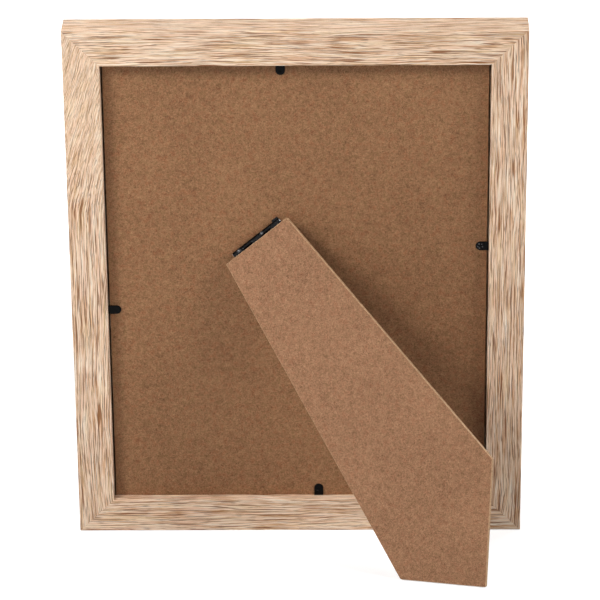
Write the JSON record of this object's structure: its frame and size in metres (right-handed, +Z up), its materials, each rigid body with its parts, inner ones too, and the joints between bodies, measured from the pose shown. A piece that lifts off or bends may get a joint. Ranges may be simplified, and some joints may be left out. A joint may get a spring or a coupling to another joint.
{
  "type": "coin display frame",
  "caption": "Mitred wooden display frame with a glass front, round coin pockets behind a mat, bendable tabs on the backing, and a hinged easel strut.",
  "frame": {"origin": "on the surface the frame stands on, under the middle of the whole standing object's box", "axes": "+Z up; the display front faces -Y and the strut is on the +Y side; the frame leans back 12.2 degrees, its top towards +Y"},
  "size_m": [0.244, 0.128, 0.2925],
  "materials": {
    "oak": "matte, open grain",
    "backing_mdf": "matte hardboard",
    "strut_mdf": "matte hardboard",
    "black_steel": "gloss black",
    "pin_steel": "bright drawn wire",
    "nail_steel": "plain",
    "glass": "clear float glass",
    "mat_card": "matte, cream core at the bevels",
    "pocket_card": "matte",
    "flock_sheet": "flocked, soft"
  },
  "bodies": {
    "frame": {"rail_top": "oak", "rail_bottom": "oak", "rail_left": "oak", "rail_right": "oak", "corner_nails_top_left": "nail_steel", "corner_nails_top_right": "nail_steel", "corner_nails_bottom_left": "nail_steel", "corner_nails_bottom_right": "nail_steel", "glazing": "glass", "window_mat": "mat_card", "pocket_board": "pocket_card", "back_sheet": "flock_sheet", "backing_board": "backing_mdf", "tab_root_top": "black_steel", "tab_root_bottom": "black_steel", "tab_root_left": "black_steel", "tab_root_right": "black_steel", "hinge_leaf_board": "black_steel", "hinge_pin": "pin_steel"},
    "strut": {"strut": "strut_mdf", "hinge_leaf_strut": "black_steel"},
    "tab_top": {"tab_top": "black_steel"},
    "tab_bottom": {"tab_bottom": "black_steel"},
    "tab_left": {"tab_left": "black_steel"},
    "tab_right": {"tab_right": "black_steel"}
  },
  "joints": [
    {"name": "strut_hinge", "type": "hinge", "parent": "frame", "child": "strut", "pos_m": [0.0216, -0.01177, 0.17258], "axis": [0.7694, -0.135, -0.6243], "range_deg": [-27.5, 0]},
    {"name": "tab_top_bend", "type": "hinge", "parent": "frame", "child": "tab_top", "pos_m": [0.008, 0.00808, 0.27006], "axis": [1, 0, 0], "range_deg": [0, 80]},
    {"name": "tab_bottom_bend", "type": "hinge", "parent": "frame", "child": "tab_bottom", "pos_m": [-0.0105, -0.04588, 0.02047], "axis": [-1, 0, 0], "range_deg": [0, 80]},
    {"name": "tab_left_bend", "type": "hinge", "parent": "frame", "child": "tab_left", "pos_m": [-0.10218, -0.01414, 0.16726], "axis": [0, 0.2113, 0.9774], "range_deg": [0, 80]},
    {"name": "tab_right_bend", "type": "hinge", "parent": "frame", "child": "tab_right", "pos_m": [0.10218, -0.02196, 0.13109], "axis": [0, -0.2113, -0.9774], "range_deg": [0, 80]}
  ]
}
